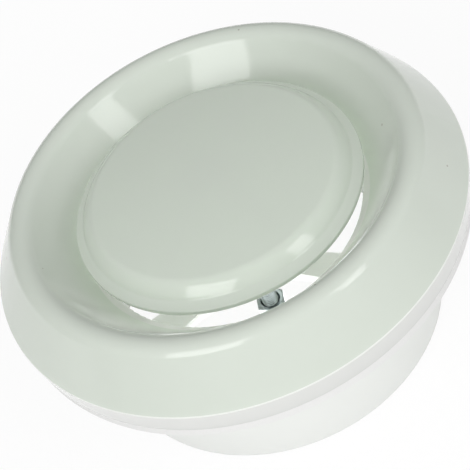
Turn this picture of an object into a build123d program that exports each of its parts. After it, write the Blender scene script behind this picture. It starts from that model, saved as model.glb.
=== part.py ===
from build123d import *
import os
from math import acos, atan2, cos, degrees, hypot, radians, sin, sqrt, tan

# Round air outlet valve for a 125 mm duct, in millimetres.
# The origin is on the valve's axis, in the plane of the wall or ceiling that it is mounted on.
# +Z points out of the face into the room, and the duct runs away along -Z.

# Spigot of the mounting collar, which goes into the duct
spigot_radius = 61.5
spigot_wall = 2.0
spigot_depth = 46.0
spigot_chamfer = 1.0

# Flange of the mounting collar, with its foam gasket and screw holes
flange_thickness = 2.2
flange_edge_clearance = 0.5
gasket_thickness = 3.4
gasket_setback = 0.2
gasket_seat_step = 1.5
gasket_bore_clearance = 0.3
screw_count = 4
screw_inset = 7.8
screw_hole_radius = 2.3
screw_head_radius = 3.7
gasket_hole_clearance = 0.9

# Visible shell of the front ring
face_overhang = 21.0
face_edge_height = 12.0
side_wall_draft = 1.2
skirt_width = 15.0
ridge_round = 5.2
ridge_height = 31.0
funnel_top_slope = 61.0
throat_inset = 9.2
throat_height = 9.6
shell_thickness = 2.0
stiffener_count = 6
stiffener_thickness = 1.6
stiffener_foot_height = 8.0

# Sleeve of the front ring, which plugs into the spigot
sleeve_gap = 2.5
sleeve_wall = 1.8
sleeve_depth = 14.0

# Bayonet between sleeve and spigot
bayonet_count = 3
bayonet_azimuth = 30.0
bayonet_clearance = 0.4
ledge_span = 22.0
ledge_thickness = 2.6
ledge_depth = 2.0
stop_span = 3.0
lug_span = 16.0
lug_thickness = 2.6

# Spider that carries the hub in the air way
arm_count = 3
arm_azimuth = 90.0
arm_thickness = 2.6
arm_hub_half_width = 4.6
arm_waist_half_width = 5.2
arm_waist_radius = 27.0
arm_root_half_width = 9.0
rib_thickness = 2.0
rib_hub_height = 8.0
rib_rim_height = 2.5
spider_rim_wall = 2.0
spider_rim_height = 10.0
hub_radius = 8.0
hub_rise = 6.0
hub_drop = 10.0
seat_clearance = 0.15
catch_width = 9.0
catch_height = 3.0
catch_reach = 1.3
catch_rise = 3.5

# Control disc
disc_overlap = 4.0
disc_edge_height = 20.0
disc_edge_thickness = 2.1
disc_edge_round = 0.6
disc_brim_width = 3.9
disc_brim_rise = 1.0
disc_shoulder_slope = 75.0
disc_shoulder_round = 5.4
disc_dome_slope = 10.0
disc_thickness = 1.8
disc_boss_radius = 8.0
disc_boss_depth = 26.7
disc_rib_count = 6
disc_rib_thickness = 1.6
disc_rib_height = 7.0
disc_rib_inset = 8.5
disc_rib_end_height = 1.2

# Threaded spindle with its inserts and end nut
spindle_radius = 3.0
spindle_grip = 18.0
spindle_tail_inset = 0.5
spindle_chamfer = 0.6
running_clearance = 0.05
insert_wall = 1.6
insert_length = 10.0
insert_flange_wall = 3.2
insert_flange_thickness = 1.2
nut_across_flats = 10.0
nut_thickness = 5.0
nut_tail = 1.4
nut_chamfer_angle = 30.0

# Sizes that follow from the ones above
spigot_bore_radius = spigot_radius - spigot_wall
flange_back = gasket_thickness
flange_front = flange_back + flange_thickness
face_radius = spigot_radius + face_overhang
ridge_radius = face_radius - skirt_width
side_wall_foot_radius = face_radius - side_wall_draft
flange_radius = side_wall_foot_radius - shell_thickness - flange_edge_clearance
screw_circle_radius = flange_radius - screw_inset
screw_sink_depth = screw_head_radius - screw_hole_radius
gasket_seat_radius = spigot_radius + gasket_seat_step
sleeve_radius = spigot_bore_radius - sleeve_gap
sleeve_bore_radius = sleeve_radius - sleeve_wall
throat_radius = sleeve_bore_radius - throat_inset
disc_radius = throat_radius + disc_overlap
disc_rib_end_radius = disc_radius - disc_rib_inset
arm_top = -sleeve_depth
arm_underside = arm_top - arm_thickness
spider_rim_radius = sleeve_bore_radius - seat_clearance
spider_bore_radius = spider_rim_radius - spider_rim_wall
hub_top = arm_top + hub_rise
hub_foot = arm_underside - hub_drop
metal_bore_radius = spindle_radius + running_clearance
insert_radius = metal_bore_radius + insert_wall
insert_pocket_radius = insert_radius + running_clearance
insert_flange_radius = metal_bore_radius + insert_flange_wall
spindle_tail = -spigot_depth + spindle_tail_inset
nut_foot = spindle_tail + nut_tail

# Small overlap that makes two features of one moulding fuse
bite = 0.5


# Point at a distance from a centre, in a direction given in degrees from the outward radius
def polar(centre, distance, direction):
    x = centre[0] + distance * cos(radians(direction))
    y = centre[1] + distance * sin(radians(direction))
    return (x, y)


# Solid turned about the valve's axis from a closed outline of (radius, height) edges
def turned(edges, span=360.0, start=0.0):
    section = Plane.XZ * make_face(edges)
    return Rot(0, 0, start) * revolve(section, Axis.Z, span)


# Closed outline through the given corners
def outline(*corners):
    return Polyline(*corners, close=True).edges()


# Turned block between two radii and two heights
def turned_block(inner, outer, low, high, span=360.0, start=0.0):
    corners = [(inner, low), (outer, low), (outer, high), (inner, high)]
    return turned(outline(*corners), span, start)


# Copies of a piece, evenly spaced about the axis
def around(piece, count, start=0.0):
    return [Rot(0, 0, start + index * 360.0 / count) * piece for index in range(count)]


# Plate of a given thickness that stands in the plane through the axis at azimuth 0
def radial_plate(edges, thickness):
    section = Plane.XZ * make_face(edges)
    return extrude(section, thickness / 2, both=True)


# Round at the top of the ridge, and the direction in which the skirt leaves it for the sharp edge
ridge_centre = (ridge_radius, ridge_height - ridge_round)
edge_offset = (face_radius - ridge_centre[0], face_edge_height - ridge_centre[1])
edge_bearing = degrees(atan2(edge_offset[1], edge_offset[0]))
skirt_normal = edge_bearing + degrees(acos(ridge_round / hypot(*edge_offset)))

# Arc of the funnel, which leaves the ridge at its steepest slope and ends at the throat's lip
funnel_normal = 90.0 + funnel_top_slope
funnel_start = polar(ridge_centre, ridge_round, funnel_normal)
lip = (throat_radius + shell_thickness / 2, throat_height)
chord = (funnel_start[0] - lip[0], funnel_start[1] - lip[1])
chord_drop = chord[0] * cos(radians(funnel_normal)) + chord[1] * sin(radians(funnel_normal))
funnel_round = -(chord[0] ** 2 + chord[1] ** 2) / (2 * chord_drop)
funnel_centre = polar(funnel_start, funnel_round, funnel_normal)
lip_bearing = degrees(atan2(lip[1] - funnel_centre[1], lip[0] - funnel_centre[0])) % 360.0
funnel_top_bearing = funnel_normal + 180.0


# Height of the funnel at a radius, at a depth under its visible surface
def funnel_height(radius, depth):
    reach = radius - funnel_centre[0]
    return funnel_centre[1] - sqrt((funnel_round + depth) ** 2 - reach**2)


# Corner between the leaning side wall and the skirt, at a depth under the visible surface
def face_corner(depth):
    skirt = polar(ridge_centre, ridge_round - depth, skirt_normal)
    skirt_fall = tan(radians(skirt_normal - 90.0))
    wall_lean = side_wall_draft / (face_edge_height - flange_back)
    level = skirt[1] - skirt_fall * skirt[0] - flange_back
    radius = (side_wall_foot_radius - depth + wall_lean * level) / (1 - wall_lean * skirt_fall)
    return (radius, skirt[1] + skirt_fall * (radius - skirt[0]))


# Section of the face at a depth under its visible surface, from the side wall's foot to the lip
def face_line(depth):
    foot = (side_wall_foot_radius - depth, flange_back)
    skirt = polar(ridge_centre, ridge_round - depth, skirt_normal)
    crest = polar(ridge_centre, ridge_round - depth, 90.0)
    steep = polar(ridge_centre, ridge_round - depth, funnel_normal)
    middle = polar(funnel_centre, funnel_round + depth, (funnel_top_bearing + lip_bearing) / 2)
    end = polar(funnel_centre, funnel_round + depth, lip_bearing)
    wall = Polyline(foot, face_corner(depth), skirt).edges()
    ridge = ThreePointArc(skirt, crest, steep).edges()
    funnel = ThreePointArc(steep, middle, end).edges()
    return [*wall, *ridge, *funnel], foot, end


# Shell of the face: side wall, skirt, ridge and funnel, with a rounded lip at the throat
def face_shell():
    outside, outer_foot, outer_end = face_line(0.0)
    inside, inner_foot, inner_end = face_line(shell_thickness)
    lip_middle = polar(funnel_centre, funnel_round + shell_thickness / 2, lip_bearing)
    nose = polar(lip_middle, shell_thickness / 2, lip_bearing - 90.0)
    lip_round = ThreePointArc(outer_end, nose, inner_end).edges()
    foot = Line(outer_foot, inner_foot).edges()
    return turned([*outside, *lip_round, *inside, *foot])


# Sleeve under the funnel, which runs down into the spigot
def sleeve():
    inner_top = (sleeve_bore_radius, funnel_height(sleeve_bore_radius, shell_thickness / 2))
    outer_top = (sleeve_radius, funnel_height(sleeve_radius, shell_thickness / 2))
    foot = -sleeve_depth
    return turned(outline((sleeve_bore_radius, foot), (sleeve_radius, foot), outer_top, inner_top))


# Stiffening plate between sleeve and side wall, inside the hollow of the ridge
def stiffener():
    edges, foot, end = face_line(shell_thickness / 2)
    wall, skirt, ridge, funnel = edges
    inner = sleeve_radius - bite
    start = (inner, funnel_height(inner, shell_thickness / 2))
    steep = ridge @ 1
    middle_radius = (inner + steep.X) / 2
    middle = (middle_radius, funnel_height(middle_radius, shell_thickness / 2))
    rise = ThreePointArc(start, middle, (steep.X, steep.Y)).edges()
    corner = skirt @ 0
    wall_lean = side_wall_draft / (face_edge_height - flange_back)
    outer = corner.X - wall_lean * (corner.Y - stiffener_foot_height)
    base = Polyline((corner.X, corner.Y), (outer, stiffener_foot_height), (inner, stiffener_foot_height), start)
    return radial_plate([*rise, ridge, skirt, *base.edges()], stiffener_thickness)


# Window in the sleeve that a catch of the spider snaps into
def catch_window():
    width = catch_width + 2 * bayonet_clearance
    low = arm_top + catch_rise - bayonet_clearance
    high = arm_top + catch_rise + catch_height + bayonet_clearance
    middle = ((sleeve_bore_radius + sleeve_radius) / 2, 0, (low + high) / 2)
    return Pos(*middle) * Box(3 * sleeve_wall, width, high - low)


# Front ring: the visible shell, moulded in one with its sleeve, stiffeners and bayonet lugs
def front_ring():
    lug_top = -ledge_depth - ledge_thickness - bayonet_clearance
    lug_reach = spigot_bore_radius - bayonet_clearance
    lug = turned_block(
        sleeve_radius - bite, lug_reach, lug_top - lug_thickness, lug_top, lug_span, -lug_span / 2
    )
    ring = face_shell() + sleeve()
    ring += around(stiffener(), stiffener_count)
    ring += around(lug, bayonet_count, bayonet_azimuth)
    ring -= around(catch_window(), arm_count, arm_azimuth)
    return ring


# Ledge inside the spigot that holds a bayonet lug, with a stop at its locked end
def bayonet_ledge():
    inner = sleeve_radius + bayonet_clearance
    outer = spigot_bore_radius + bite
    high = -ledge_depth
    low = high - ledge_thickness
    stop_start = -lug_span / 2 - degrees(bayonet_clearance / spigot_bore_radius) - stop_span
    stop_foot = low - bayonet_clearance - lug_thickness
    ledge = turned_block(inner, outer, low, high, ledge_span, -ledge_span / 2)
    return ledge + turned_block(inner, outer, stop_foot, high, stop_span, stop_start)


# Hole and countersink for one fixing screw
def screw_hole():
    hole = Cylinder(screw_hole_radius, 4 * flange_thickness)
    sink = Cone(screw_hole_radius, screw_head_radius, screw_sink_depth)
    hole_place = Pos(screw_circle_radius, 0, (flange_back + flange_front) / 2)
    sink_place = Pos(screw_circle_radius, 0, flange_front - screw_sink_depth / 2)
    return hole_place * hole + sink_place * sink


# Mounting collar: the spigot and its flange, with a seat for the gasket, bayonet ledges and screw holes
def mounting_collar():
    rear = -spigot_depth
    spigot = turned(
        outline(
            (spigot_bore_radius, rear),
            (spigot_radius - spigot_chamfer, rear),
            (spigot_radius, rear + spigot_chamfer),
            (spigot_radius, 0.0),
            (gasket_seat_radius, 0.0),
            (gasket_seat_radius, flange_back),
            (flange_radius, flange_back),
            (flange_radius, flange_front),
            (spigot_bore_radius, flange_front),
        )
    )
    collar = spigot + around(bayonet_ledge(), bayonet_count, bayonet_azimuth)
    return collar - around(screw_hole(), screw_count, 180.0 / screw_count)


# Foam gasket on the back of the flange
def flange_gasket():
    inner = gasket_seat_radius + gasket_bore_clearance
    outer = side_wall_foot_radius - gasket_setback
    hole = Cylinder(screw_hole_radius + gasket_hole_clearance, 4 * gasket_thickness)
    holes = around(Pos(screw_circle_radius, 0, 0) * hole, screw_count, 180.0 / screw_count)
    return turned_block(inner, outer, 0.0, gasket_thickness) - holes


# One arm of the spider seen from the front, running out along X with a waist and a flared root
def arm():
    start = hub_radius - bite
    end = spider_rim_radius - bite
    corners = [(start, -arm_hub_half_width), (end, -arm_root_half_width)]
    lower = ThreePointArc(corners[0], (arm_waist_radius, -arm_waist_half_width), corners[1])
    upper = mirror(lower, Plane.XZ)
    root = Line(corners[1], (end, arm_root_half_width))
    foot = Line((start, arm_hub_half_width), corners[0])
    face = make_face([*lower.edges(), *root.edges(), *upper.edges(), *foot.edges()])
    return Pos(0, 0, arm_underside) * extrude(face, arm_thickness)


# Rib under an arm, deep at the hub and shallow at the rim
def arm_rib():
    start = hub_radius - bite
    end = spider_bore_radius + bite
    top = arm_top - arm_thickness / 2
    corners = [
        (start, top),
        (start, arm_underside - rib_hub_height),
        (end, arm_underside - rib_rim_height),
        (end, top),
    ]
    return radial_plate(outline(*corners), rib_thickness)


# Catch on the spider's rim that snaps into the sleeve, with a lead-in slope
def rim_catch():
    inner = spider_rim_radius - bite
    low = arm_top + catch_rise
    corners = [
        (inner, low),
        (spider_rim_radius + catch_reach, low),
        (spider_rim_radius + catch_reach, low + catch_height / 3),
        (inner, low + catch_height),
    ]
    return radial_plate(outline(*corners), catch_width)


# Spider: rim with catches, three flared arms with ribs, and the hub in the middle
def spider():
    rim = turned(
        outline(
            (spider_bore_radius, arm_underside - rib_rim_height),
            (sleeve_radius, arm_underside - rib_rim_height),
            (sleeve_radius, arm_top),
            (spider_rim_radius, arm_top),
            (spider_rim_radius, arm_top + spider_rim_height),
            (spider_bore_radius, arm_top + spider_rim_height),
        )
    )
    body = rim + turned_block(0.0, hub_radius, hub_foot, hub_top)
    for feature in (arm(), arm_rib(), rim_catch()):
        body += around(feature, arm_count, arm_azimuth)
    insert_foot = hub_top - insert_length
    body -= turned_block(0.0, insert_pocket_radius, insert_foot, hub_top)
    return body - turned_block(0.0, insert_radius, hub_foot, insert_foot)


# Flanged metal insert, whose threaded bore takes the spindle, hanging from a seat height
def threaded_insert(seat):
    barrel = turned_block(metal_bore_radius, insert_radius, seat - insert_length, seat)
    flange = turned_block(metal_bore_radius, insert_flange_radius, seat, seat + insert_flange_thickness)
    return barrel + flange


# Threaded rod on the valve's axis
def spindle():
    rod = turned_block(0.0, spindle_radius, spindle_tail, spindle_top)
    return chamfer(rod.edges().filter_by(GeomType.CIRCLE), spindle_chamfer)


# Hexagon nut near the spindle's tail, chamfered on both faces
def end_nut():
    hexagon = RegularPolygon(nut_across_flats / 2, 6, major_radius=False)
    blank = Pos(0, 0, nut_foot) * extrude(hexagon, nut_thickness)
    corner_radius = nut_across_flats / 2 / cos(radians(30.0))
    drop = (corner_radius - nut_across_flats / 2) * tan(radians(nut_chamfer_angle))
    top = nut_foot + nut_thickness
    envelope = turned(
        outline(
            (metal_bore_radius, nut_foot),
            (nut_across_flats / 2, nut_foot),
            (corner_radius, nut_foot + drop),
            (corner_radius, top - drop),
            (nut_across_flats / 2, top),
            (metal_bore_radius, top),
        )
    )
    return blank & envelope


# Foot of the disc's rounded shoulder on its brim, and centres of the shoulder and of the shallow dome
brim_top = disc_edge_height + disc_edge_thickness
shoulder_foot = (disc_radius - disc_brim_width, brim_top + disc_brim_rise)
shoulder_centre = polar(shoulder_foot, -disc_shoulder_round, 90.0 - disc_shoulder_slope)
dome_edge = polar(shoulder_centre, disc_shoulder_round, 90.0 - disc_dome_slope)
dome_round = dome_edge[0] / sin(radians(disc_dome_slope))
dome_centre = (0.0, dome_edge[1] - dome_round * cos(radians(disc_dome_slope)))

# Heights of the boss's foot and of the spindle's top, measured down from the dome's crest
disc_boss_foot = dome_centre[1] + dome_round - disc_boss_depth
spindle_top = disc_boss_foot + spindle_grip


# Dome of the disc at a depth under its visible surface, from the axis to its shoulder
def dome_line(depth):
    crest = polar(dome_centre, dome_round - depth, 90.0)
    middle = polar(dome_centre, dome_round - depth, 90.0 - disc_dome_slope / 2)
    edge = polar(dome_centre, dome_round - depth, 90.0 - disc_dome_slope)
    return ThreePointArc(crest, middle, edge)


# Rounded shoulder of the disc at a depth under its visible surface, from the dome down to the brim
def shoulder_line(depth):
    start = polar(shoulder_centre, disc_shoulder_round - depth, 90.0 - disc_dome_slope)
    middle_slope = (disc_dome_slope + disc_shoulder_slope) / 2
    middle = polar(shoulder_centre, disc_shoulder_round - depth, 90.0 - middle_slope)
    end = polar(shoulder_centre, disc_shoulder_round - depth, 90.0 - disc_shoulder_slope)
    return ThreePointArc(start, middle, end)


# Thin domed shell of the disc, with a flat brim whose outer edges are rounded
def disc_shell():
    outer = [dome_line(0.0), shoulder_line(0.0)]
    inner = [shoulder_line(disc_thickness), dome_line(disc_thickness)]
    hollow_corner = inner[0] @ 1
    brim = Polyline(
        outer[1] @ 1,
        (disc_radius, brim_top),
        (disc_radius, disc_edge_height),
        (hollow_corner.X, disc_edge_height),
        hollow_corner,
    )
    core = Line(inner[1] @ 0, outer[0] @ 0)
    shell = turned([*(curve.edge() for curve in outer + inner), *brim.edges(), core.edge()])
    rings = shell.edges().filter_by(GeomType.CIRCLE)
    edge_rings = rings.filter_by(lambda ring: abs(ring.radius - disc_radius) < disc_edge_round)
    return fillet(edge_rings, disc_edge_round)


# Height of the middle of the disc's wall at a radius
def dome_height(radius):
    reach = dome_round - disc_thickness / 2
    return dome_centre[1] + sqrt(reach**2 - radius**2)


# Radial rib under the disc, from its boss nearly to the rim
def disc_rib():
    start = disc_boss_radius - bite
    end = disc_rib_end_radius
    middle = (start + end) / 2
    top = ThreePointArc((start, dome_height(start)), (middle, dome_height(middle)), (end, dome_height(end)))
    boss_foot = dome_height(start) - disc_rib_height
    rim_foot = dome_height(end) - disc_thickness / 2 - disc_rib_end_height
    base = Polyline((end, dome_height(end)), (end, rim_foot), (start, boss_foot), (start, dome_height(start)))
    return radial_plate([top.edge(), *base.edges()], disc_rib_thickness)


# Control disc: domed shell with a boss for the spindle and ribs underneath
def disc():
    boss = turned_block(0.0, disc_boss_radius, disc_boss_foot, dome_height(disc_boss_radius))
    body = disc_shell() + boss
    body += around(disc_rib(), disc_rib_count)
    pocket_top = disc_boss_foot + insert_length
    body -= turned_block(0.0, insert_pocket_radius, disc_boss_foot, pocket_top)
    return body - turned_block(0.0, metal_bore_radius, pocket_top, spindle_top + seat_clearance)


# Insert of the hub, dropped in from the front with its flange on the hub's top
def hub_insert():
    return threaded_insert(hub_top)


# Insert of the disc, pushed in from behind with its flange on the boss's foot
def disc_insert():
    return mirror(threaded_insert(-disc_boss_foot), Plane.XY)


pieces = {
    "mounting_collar": mounting_collar,
    "flange_gasket": flange_gasket,
    "front_ring": front_ring,
    "spider": spider,
    "hub_insert": hub_insert,
    "disc": disc,
    "disc_insert": disc_insert,
    "spindle": spindle,
    "end_nut": end_nut,
}

os.makedirs("parts", exist_ok=True)
for name, make in pieces.items():
    export_step(make(), f"parts/{name}.step")
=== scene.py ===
from math import cos, degrees, pi, radians, sin, sqrt, tan

import bpy
from mathutils import Matrix, Vector


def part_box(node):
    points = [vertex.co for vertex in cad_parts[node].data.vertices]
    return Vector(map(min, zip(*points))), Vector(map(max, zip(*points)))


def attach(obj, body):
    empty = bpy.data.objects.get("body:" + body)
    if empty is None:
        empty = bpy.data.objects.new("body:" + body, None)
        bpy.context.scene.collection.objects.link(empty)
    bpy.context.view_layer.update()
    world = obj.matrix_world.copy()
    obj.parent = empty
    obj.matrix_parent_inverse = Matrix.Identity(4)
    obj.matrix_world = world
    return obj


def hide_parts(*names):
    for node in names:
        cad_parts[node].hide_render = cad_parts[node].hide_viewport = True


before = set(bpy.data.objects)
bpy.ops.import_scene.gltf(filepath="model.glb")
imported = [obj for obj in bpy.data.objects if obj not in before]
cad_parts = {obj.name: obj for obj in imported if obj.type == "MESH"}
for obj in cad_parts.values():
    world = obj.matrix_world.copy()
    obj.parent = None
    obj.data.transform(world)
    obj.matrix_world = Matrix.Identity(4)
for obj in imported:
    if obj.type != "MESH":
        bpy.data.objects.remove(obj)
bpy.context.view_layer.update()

scene = bpy.context.scene

# Shapes are written in millimetres and degrees; lengths of all else are in metres

# Distance that keeps the new shapes inside the ends of the solids they stand for
inset = 0.01

# Radius of the bores that the spindle runs through
spindle_bore = 3.05

# Spindle thread: a crest, flank and root that are shares of the pitch
thread_radius, thread_pitch, thread_end_bevel = 2.98, 1.0, 0.75
thread_depth_share = 0.54
crest_share, flank_share, root_share = 0.125, 0.3125, 0.25

# Hexagon nut: where its corner bevel starts, as a share of the flats, and how steeply it falls
nut_across_flats, nut_countersink = 9.98, 0.7
nut_bevel_start_share, nut_bevel_slope = 0.95, 0.577

# Rim of the control disc
rim_radius, rim_top, rim_foot, rim_round, disc_wall = 49.98, 22.1, 20.02, 0.55, 1.8

# Slopes of the disc's outside: the brim, the shoulder's foot, where its two rounds meet, and the dome's edge
brim_slope, foot_slope, turn_slope, dome_slope = 30.0, 57.0, 40.0, 7.1

# Radius of the shoulder's foot, and rounds: the hollow at that foot, the flank, and the tight upper part
shoulder_foot_radius, hollow_round, flank_round, tight_round = 46.6, 1.6, 15.0, 4.5

# Boss of the control disc, with the hole for its insert and the depth of the spindle's bore
boss_radius, boss_foot_bevel = 8.0, 0.4
insert_hole_radius, insert_hole_depth, disc_bore_depth = 4.7, 10.0, 18.15

# Ribs under the control disc
rib_count, rib_thickness, rib_inner_radius, rib_length = 6, 1.6, 7.5, 30.5
rib_inner_height, rib_outer_height, rib_sunk = 6.4, 1.5, 0.3

# Radius and slope that stand for zero where faces would otherwise shrink to nothing
near_axis = 0.01


# Threaded rod: each row of points follows the helix, so crests and roots are true lines
def threaded_rod(radius, pitch, low, high, end_bevel, steps=36):
    depth = thread_depth_share * pitch
    flank_end = crest_share + flank_share
    profile = [
        (0.0, radius),
        (crest_share, radius),
        (flank_end, radius - depth),
        (flank_end + root_share, radius - depth),
    ]
    spare_turns = 3
    turns = int((high - low) / pitch) + spare_turns
    rows = [(turn + part, at) for turn in range(turns) for part, at in profile]
    vertices = []
    for climb, at in rows:
        for step in range(steps):
            height = low + pitch * (climb - 1 + step / steps)
            height = min(max(height, low), high)
            bevelled = radius - end_bevel + min(height - low, high - height)
            around = 2 * pi * step / steps
            reach = min(at, bevelled)
            vertices.append((reach * cos(around), reach * sin(around), height))
    faces = []
    skip = len(profile)
    for row in range(len(rows) - 1):
        for step in range(steps):
            a, b = row * steps + step, (row + 1) * steps + step
            if step < steps - 1:
                faces.append((a, a + 1, b + 1, b))
            # The end of a turn joins the start of the next, one profile further on
            elif row + skip + 1 < len(rows):
                faces.append((a, (row + skip) * steps, (row + skip + 1) * steps, b))
    for height, turned_up in ((low, False), (high, True)):
        base = len(vertices)
        reach = radius - end_bevel
        for step in range(steps):
            around = 2 * pi * step / steps
            vertices.append((reach * cos(around), reach * sin(around), height))
        ring = list(range(base, base + steps))
        faces.append(tuple(ring if turned_up else ring[::-1]))
    return vertices, faces


# Hexagon nut with both faces bevelled at the corners and a countersunk bore
def hexagon_nut(across_flats, bore, low, high, steps=96):
    half = across_flats / 2
    shoulder = half * nut_bevel_start_share
    sink = nut_countersink
    vertices, faces = [], []
    for step in range(steps):
        around = 2 * pi * step / steps
        from_flat = (around + pi / 6) % (pi / 3) - pi / 6
        corner = half / cos(from_flat)
        bevel = (corner - shoulder) * nut_bevel_slope
        section = [
            (bore, low + sink),
            (bore + sink, low),
            (shoulder, low),
            (corner, low + bevel),
            (corner, high - bevel),
            (shoulder, high),
            (bore + sink, high),
            (bore, high - sink),
        ]
        for reach, height in section:
            vertices.append((reach * cos(around), reach * sin(around), height))
    rows = len(section)
    for step in range(steps):
        here, beside = step * rows, (step + 1) % steps * rows
        for row in range(rows):
            above = (row + 1) % rows
            faces.append((here + row, beside + row, beside + above, here + above))
    return vertices, faces


# Point of an arc in the plane of radius and height, where it falls at a slope; the arc's top has a slope of 0
def arc_point(centre, radius, slope):
    return centre[0] + radius * sin(radians(slope)), centre[1] + radius * cos(radians(slope))


# Centre of the arc that has this point at this slope
def arc_centre(point, radius, slope):
    return arc_point(point, -radius, slope)


# Points of an arc from one slope to another
def slope_arc(centre, radius, start, end, count):
    return [arc_point(centre, radius, start + (end - start) * index / count) for index in range(count + 1)]


# Closed outline of (radius, height) turned about the axis
def turned(outline, steps=288):
    vertices = []
    for radius, height in outline:
        for step in range(steps):
            around = 2 * pi * step / steps
            vertices.append((radius * cos(around), radius * sin(around), height))
    faces = []
    rows = len(outline)
    for row in range(rows):
        here, following = row * steps, (row + 1) % rows * steps
        for step in range(steps):
            beside = (step + 1) % steps
            faces.append((here + step, following + step, following + beside, here + beside))
    return vertices, faces


# Plate that stands in a plane through the axis, at an azimuth
def fin(outline, thickness, azimuth):
    c, s = cos(radians(azimuth)), sin(radians(azimuth))
    count = len(outline)
    vertices = []
    for side in (-thickness / 2, thickness / 2):
        vertices += [(r * c - side * s, r * s + side * c, z) for r, z in outline]
    faces = [tuple(range(count)), tuple(range(2 * count - 1, count - 1, -1))]
    faces += [((i + 1) % count, i, count + i, count + (i + 1) % count) for i in range(count)]
    return vertices, faces


# Several shapes as one
def joined(shapes):
    vertices, faces = [], []
    for shape_vertices, shape_faces in shapes:
        base = len(vertices)
        vertices += shape_vertices
        faces += [tuple(base + index for index in face) for face in shape_faces]
    return vertices, faces


# Ribs in one plane each, under the inner face of the dome
def disc_ribs(dome_centre, inner_round, along_steps=10):
    along = [rib_inner_radius + rib_length * index / along_steps for index in range(along_steps + 1)]
    top_round = inner_round + rib_sunk
    outline = [(r, dome_centre[1] + sqrt(top_round ** 2 - r ** 2)) for r in along]
    outline += [(along[-1], outline[-1][1] - rib_outer_height), (along[0], outline[0][1] - rib_inner_height)]
    return joined([fin(outline, rib_thickness, 360.0 / rib_count * index) for index in range(rib_count)])


# Control disc with a wide rounded shoulder, a sloping brim and a boss; and its ribs
def control_disc(boss_foot):
    brim_run = rim_radius - shoulder_foot_radius
    foot = (shoulder_foot_radius, rim_top + brim_run * tan(radians(brim_slope)))
    flank_centre = arc_centre(foot, flank_round, foot_slope)
    tight_centre = arc_centre(arc_point(flank_centre, flank_round, turn_slope), tight_round, turn_slope)
    dome_edge = arc_point(tight_centre, tight_round, dome_slope)
    dome_round = dome_edge[0] / sin(radians(dome_slope))
    dome_centre = arc_centre(dome_edge, dome_round, dome_slope)
    hollow_centre = arc_centre(foot, -hollow_round, foot_slope)

    outside = slope_arc(dome_centre, dome_round, near_axis, dome_slope, count=24)
    outside += slope_arc(tight_centre, tight_round, dome_slope, turn_slope, count=16)[1:]
    outside += slope_arc(flank_centre, flank_round, turn_slope, foot_slope, count=14)[1:]
    outside += slope_arc(hollow_centre, -hollow_round, foot_slope, brim_slope, count=8)[1:]

    edge_radius = rim_radius - rim_round
    edge = slope_arc((edge_radius, rim_top - rim_round), rim_round, brim_slope, 90.0, count=5)
    edge += slope_arc((edge_radius, rim_foot + rim_round), rim_round, 90.0, 180.0, count=5)

    under = slope_arc(flank_centre, flank_round - disc_wall, foot_slope, turn_slope, count=10)
    under += slope_arc(tight_centre, tight_round - disc_wall, turn_slope, dome_slope, count=10)[1:]
    inner_round = dome_round - disc_wall
    boss_slope = degrees(boss_radius / inner_round)
    inside = slope_arc(dome_centre, inner_round, dome_slope, boss_slope, count=20)[1:]

    insert_top, bore_top = boss_foot + insert_hole_depth, boss_foot + disc_bore_depth
    boss = [
        (boss_radius, boss_foot + boss_foot_bevel),
        (boss_radius - boss_foot_bevel, boss_foot),
        (insert_hole_radius, boss_foot),
        (insert_hole_radius, insert_top),
        (spindle_bore, insert_top),
        (spindle_bore, bore_top),
        (near_axis, bore_top),
    ]
    outline = outside + edge + [(under[0][0], rim_foot)] + under + inside + boss
    return turned(outline), disc_ribs(dome_centre, inner_round)


# One smooth-shaded object that takes the place of a node and rides on its body; bends past sharp stay edges
def piece(name, shape, material, body, stands_for, sharp):
    vertices, faces = shape
    mesh = bpy.data.meshes.new(name)
    mesh.from_pydata([(x / 1000, y / 1000, z / 1000) for x, y, z in vertices], [], faces)
    mesh.validate()
    mesh.polygons.foreach_set("use_smooth", [True] * len(mesh.polygons))
    mesh.set_sharp_from_angle(angle=radians(sharp))
    mesh.materials.append(material)
    made = bpy.data.objects.new(name, mesh)
    scene.collection.objects.link(made)
    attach(made, body)
    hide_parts(stands_for)


# Gives an input a fixed value, or links it to the output of another node
def feed(tree, socket, value):
    if isinstance(value, bpy.types.NodeSocket):
        tree.links.new(value, socket)
    else:
        socket.default_value = value


# New node with its inputs fed by name or number
def node(tree, kind, inputs, operation=None):
    made = tree.nodes.new("ShaderNode" + kind)
    if operation:
        made.operation = operation
    for name, value in inputs.items():
        feed(tree, made.inputs[name], value)
    return made


# Result of a sum or comparison of numbers
def calculated(tree, operation, *values):
    return node(tree, "Math", dict(enumerate(values)), operation).outputs[0]


# Colour that goes from the first to the second as the share rises
def mixed(tree, share, first, second):
    share_input, first_input, second_input, colour_output = 0, 6, 7, 2
    mix = tree.nodes.new("ShaderNodeMix")
    mix.data_type = "RGBA"
    feed(tree, mix.inputs[share_input], share)
    feed(tree, mix.inputs[first_input], first)
    feed(tree, mix.inputs[second_input], second)
    return mix.outputs[colour_output]


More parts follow.
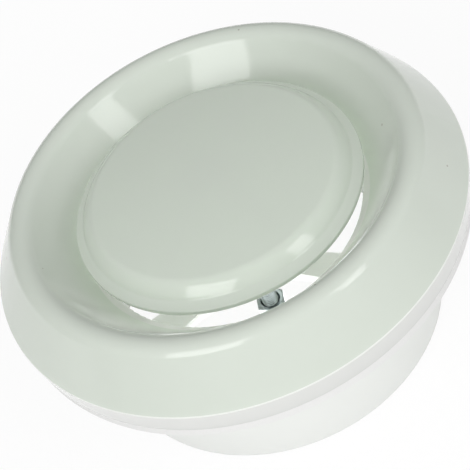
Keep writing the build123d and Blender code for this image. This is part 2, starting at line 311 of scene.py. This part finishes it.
# Material of one surface, with its colour so far and the place on the object that patterns follow
class Finish:
    def __init__(self, name, roughness):
        self.material = bpy.data.materials.new(name)
        self.material.use_nodes = True
        self.tree = self.material.node_tree
        self.surface = self.tree.nodes["Principled BSDF"]
        self.place = self.tree.nodes.new("ShaderNodeTexCoord").outputs["Object"]
        self.colour = None
        self.set("Roughness", roughness)

    def set(self, name, value):
        feed(self.tree, self.surface.inputs[name], value)

    # Colour of the surface from here on
    def paint(self, colour):
        self.colour = colour
        self.set("Base Color", colour)

    # Soft noise that follows the object
    def noise(self, grain, detail):
        inputs = {"Scale": 1 / grain, "Detail": detail, "Vector": self.place}
        return node(self.tree, "TexNoise", inputs).outputs["Fac"]

    # Colour that drifts between two tones in soft clouds
    def cloud(self, first, second, size):
        self.paint(mixed(self.tree, self.noise(size, detail=3.0), first, second))

    # Fine relief of the surface
    def roughen(self, grain, strength, depth):
        inputs = {"Strength": strength, "Distance": depth, "Height": self.noise(grain, detail=2.0)}
        self.set("Normal", node(self.tree, "Bump", inputs).outputs["Normal"])

    # Light that passes through a thin plastic wall
    def let_light_through(self, weight, depth):
        self.set("Subsurface Weight", weight)
        self.set("Subsurface Radius", (1.0, 1.0, 1.0))
        self.set("Subsurface Scale", depth)

    # A few specks on the colour so far, each in the middle of a cell
    def dust(self, cell, speck_share, colour):
        inputs = {"Scale": 1 / cell, "Vector": self.place}
        from_middle = node(self.tree, "TexVoronoi", inputs).outputs["Distance"]
        on_speck = calculated(self.tree, "LESS_THAN", from_middle, speck_share)
        self.paint(mixed(self.tree, on_speck, self.colour, colour))


# Glossy greenish-white plastic
def glossy_plastic(name, light_depth):
    finish = Finish(name, roughness=0.10)
    finish.cloud((0.635, 0.690, 0.615, 1.0), (0.655, 0.710, 0.635, 1.0), size=0.07)
    finish.let_light_through(weight=0.35, depth=light_depth)
    finish.set("IOR", 1.58)
    return finish


# Plastic of the front ring: painted light makes it paler and less green below its sharp edge, a painted
# highlight makes it palest on that edge, and it is dusty
def ring_plastic():
    finish = glossy_plastic("face_plastic", light_depth=0.006)
    tree = finish.tree
    height = node(tree, "SeparateXYZ", {"Vector": finish.place}).outputs["Z"]
    # Thin pale band on the sharp edge: a painted highlight
    edge_height, highlight_half_width, edge_starts_radius = 0.0120, 0.0003, 0.080
    # Paler, less green colour below the sharp edge: painted light from below, on the same plastic
    tone_change_low, tone_change_high = 0.0117, 0.0121
    change = {"Value": height, "From Min": tone_change_low, "From Max": tone_change_high}
    above = node(tree, "MapRange", change).outputs["Result"]
    painted_light_wall_colour = (0.735, 0.745, 0.72, 1.0)
    wall_with_painted_light = mixed(tree, above, painted_light_wall_colour, finish.colour)

    at_height = calculated(tree, "COMPARE", height, edge_height, highlight_half_width)
    from_origin = node(tree, "VectorMath", {0: finish.place}, "LENGTH").outputs["Value"]
    outside = calculated(tree, "GREATER_THAN", from_origin, edge_starts_radius)
    painted_edge_highlight = calculated(tree, "MULTIPLY", at_height, outside)
    # Painted highlight on the sharp edge, over the wall's painted light
    finish.paint(mixed(tree, painted_edge_highlight, wall_with_painted_light, (0.84, 0.86, 0.82, 1.0)))
    finish.dust(cell=0.014, speck_share=0.034, colour=(0.44, 0.44, 0.38, 1.0))
    return finish.material


# Plastic of the disc: the light goes less deep into it, so that its ribs don't show through
def disc_plastic():
    return glossy_plastic("disc_plastic", light_depth=0.0020).material


# Satin white plastic of the collar and the spider
def collar_plastic():
    finish = Finish("collar_plastic", roughness=0.28)
    finish.cloud((0.765, 0.78, 0.755, 1.0), (0.795, 0.81, 0.785, 1.0), size=0.05)
    finish.let_light_through(weight=0.4, depth=0.006)
    return finish.material


# White closed-cell foam
def foam():
    finish = Finish("foam", roughness=0.85)
    finish.cloud((0.76, 0.76, 0.75, 1.0), (0.82, 0.82, 0.81, 1.0), size=0.0006)
    finish.roughen(grain=0.0005, strength=0.6, depth=0.0002)
    return finish.material


# Zinc-plated steel
def plated_steel():
    finish = Finish("plated_steel", roughness=0.26)
    finish.cloud((0.27, 0.31, 0.315, 1.0), (0.42, 0.46, 0.46, 1.0), size=0.0016)
    finish.set("Metallic", 1.0)
    finish.roughen(grain=0.0004, strength=0.25, depth=0.00005)
    return finish.material


# Turned brass
def insert_brass():
    finish = Finish("insert_brass", roughness=0.28)
    finish.cloud((0.66, 0.49, 0.20, 1.0), (0.78, 0.61, 0.30, 1.0), size=0.0012)
    finish.set("Metallic", 1.0)
    finish.roughen(grain=0.0003, strength=0.2, depth=0.00004)
    return finish.material


ring_finish, disc_finish, collar_finish = ring_plastic(), disc_plastic(), collar_plastic()
foam_finish, steel_finish, brass_finish = foam(), plated_steel(), insert_brass()
finish_of = {
    "front_ring": ring_finish,
    "disc": ring_finish,
    "mounting_collar": collar_finish,
    "spider": collar_finish,
    "flange_gasket": foam_finish,
    "spindle": steel_finish,
    "end_nut": steel_finish,
    "hub_insert": brass_finish,
    "disc_insert": brass_finish,
}
for name, material in finish_of.items():
    cad_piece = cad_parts[name]
    cad_piece.data.materials.clear()
    cad_piece.data.materials.append(material)

# Disc with a fuller shoulder and a steeper brim than the solid's
disc_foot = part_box("disc")[0][2] * 1000
disc_shape, disc_ribs_shape = control_disc(disc_foot + inset)
piece("disc_face", disc_shape, disc_finish, "disc", "disc", sharp=34.0)
piece("disc_ribs", disc_ribs_shape, disc_finish, "disc", "disc", sharp=34.0)

# Spindle with the thread that the solid carries as a plain cylinder
rod_low, rod_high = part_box("spindle")[0][2] * 1000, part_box("spindle")[1][2] * 1000
rod = threaded_rod(thread_radius, thread_pitch, rod_low + inset, rod_high - inset, thread_end_bevel)
piece("spindle_thread", rod, steel_finish, "spindle", "spindle", sharp=50.0)

# Nut with a countersunk bore
nut_low, nut_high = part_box("end_nut")[0][2] * 1000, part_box("end_nut")[1][2] * 1000
nut = hexagon_nut(nut_across_flats, spindle_bore, nut_low + inset, nut_high - inset)
piece("end_nut_hexagon", nut, steel_finish, "disc", "end_nut", sharp=20.0)


# Paint that looks white to the camera and to shiny surfaces, and still takes a soft shadow
def floor_paint():
    material = bpy.data.materials.new("floor")
    material.use_nodes = True
    tree = material.node_tree
    tree.nodes.clear()
    paint = node(tree, "BsdfDiffuse", {"Color": (0.88, 0.88, 0.88, 1.0)})
    glow = node(tree, "Emission", {"Strength": 1.03})
    glow_share = 0.85
    path = node(tree, "LightPath", {})
    seen = calculated(tree, "MAXIMUM", path.outputs["Is Camera Ray"], path.outputs["Is Glossy Ray"])
    shown = calculated(tree, "MAXIMUM", seen, path.outputs["Is Transmission Ray"])
    share = calculated(tree, "MULTIPLY", shown, glow_share)
    both = node(tree, "MixShader", {0: share, 1: paint.outputs[0], 2: glow.outputs[0]})
    node(tree, "OutputMaterial", {"Surface": both.outputs[0]})
    return material


# Floor under the spigot's foot
floor_half_width = 4.0
sheet = bpy.data.meshes.new("floor")
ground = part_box("mounting_collar")[0][2]
sides = ((-1, -1), (1, -1), (1, 1), (-1, 1))
corners = [(x * floor_half_width, y * floor_half_width, ground) for x, y in sides]
sheet.from_pydata(corners, [], [(0, 1, 2, 3)])
sheet.materials.append(floor_paint())
floor_piece = bpy.data.objects.new("floor", sheet)
scene.collection.objects.link(floor_piece)

# Camera at the photograph's angle, with its own roll, where the arms show in the gap as they do there
azimuth, tilt, roll = radians(-78.5), radians(43.99), radians(26.39)
aim_height, camera_distance, shifted_right, shifted_down = 0.012, 0.504, 0.0031, 0.0088
focal_pixels, image_pixels, sensor_width = 1500, 470, 36.0
towards = Vector((cos(azimuth) * sin(tilt), sin(azimuth) * sin(tilt), cos(tilt)))
level = Vector((-sin(azimuth), cos(azimuth), 0.0))
rise = towards.cross(level)
image_right = level * cos(roll) - rise * sin(roll)
image_up = level * sin(roll) + rise * cos(roll)
spot = Vector((0, 0, aim_height)) + towards * camera_distance
spot += image_right * shifted_right - image_up * shifted_down
camera = bpy.data.objects.new("camera", bpy.data.cameras.new("camera"))
scene.collection.objects.link(camera)
camera.data.sensor_width = sensor_width
camera.data.lens = focal_pixels / image_pixels * sensor_width
facing = Matrix((image_right, image_up, towards)).transposed()
camera.matrix_world = Matrix.Translation(spot) @ facing.to_4x4()
scene.camera = camera


# Soft box that faces the part from a bearing and a height in degrees
def softbox(name, bearing, height, distance, wide, tall, power):
    lamp = bpy.data.lights.new(name, "AREA")
    lamp.shape = "RECTANGLE"
    lamp.size, lamp.size_y = wide, tall
    lamp.energy = power
    box = bpy.data.objects.new(name, lamp)
    scene.collection.objects.link(box)
    a, e = radians(bearing), radians(height)
    away = Vector((cos(a) * cos(e), sin(a) * cos(e), sin(e)))
    box.location = away * distance
    box.rotation_mode = "QUATERNION"
    box.rotation_quaternion = away.to_track_quat("Z", "Y")


softbox("light_left", bearing=-115.5, height=31, distance=1.2, wide=0.66, tall=0.60, power=3.6)
softbox("light_right", bearing=-40, height=31, distance=1.2, wide=0.34, tall=0.60, power=1.7)


# Lamp that shines up the spigot, for the bright room behind the valve in the photograph
def duct_light(width, above_ground, power, spread):
    lamp = bpy.data.lights.new("light_duct", "AREA")
    lamp.shape = "DISK"
    lamp.size = width
    lamp.energy = power
    lamp.spread = radians(spread)
    disk = bpy.data.objects.new("light_duct", lamp)
    scene.collection.objects.link(disk)
    disk.location = (0, 0, ground + above_ground)
    disk.rotation_euler = (pi, 0, 0)
    disk.visible_camera = False


duct_light(width=0.10, above_ground=0.001, power=0.052, spread=130)

# White surroundings that are brightest in one direction and darkest opposite to it
world = bpy.data.worlds.new("world")
scene.world = world
world.use_nodes = True
tree = world.node_tree
brightest_way, darkest, brightest = (0.20, -0.83, 0.52), 0.05, 0.97
looking = node(tree, "TexCoord", {}).outputs["Generated"]
along = node(tree, "VectorMath", {0: looking, 1: brightest_way}, "DOT_PRODUCT").outputs["Value"]
ramp = {"Value": along, "From Min": -1.0, "From Max": 1.0, "To Min": darkest, "To Max": brightest}
background = tree.nodes["Background"].inputs
feed(tree, background["Color"], (1, 1, 1, 1))
feed(tree, background["Strength"], node(tree, "MapRange", ramp).outputs["Result"])

scene.view_settings.view_transform = "Standard"
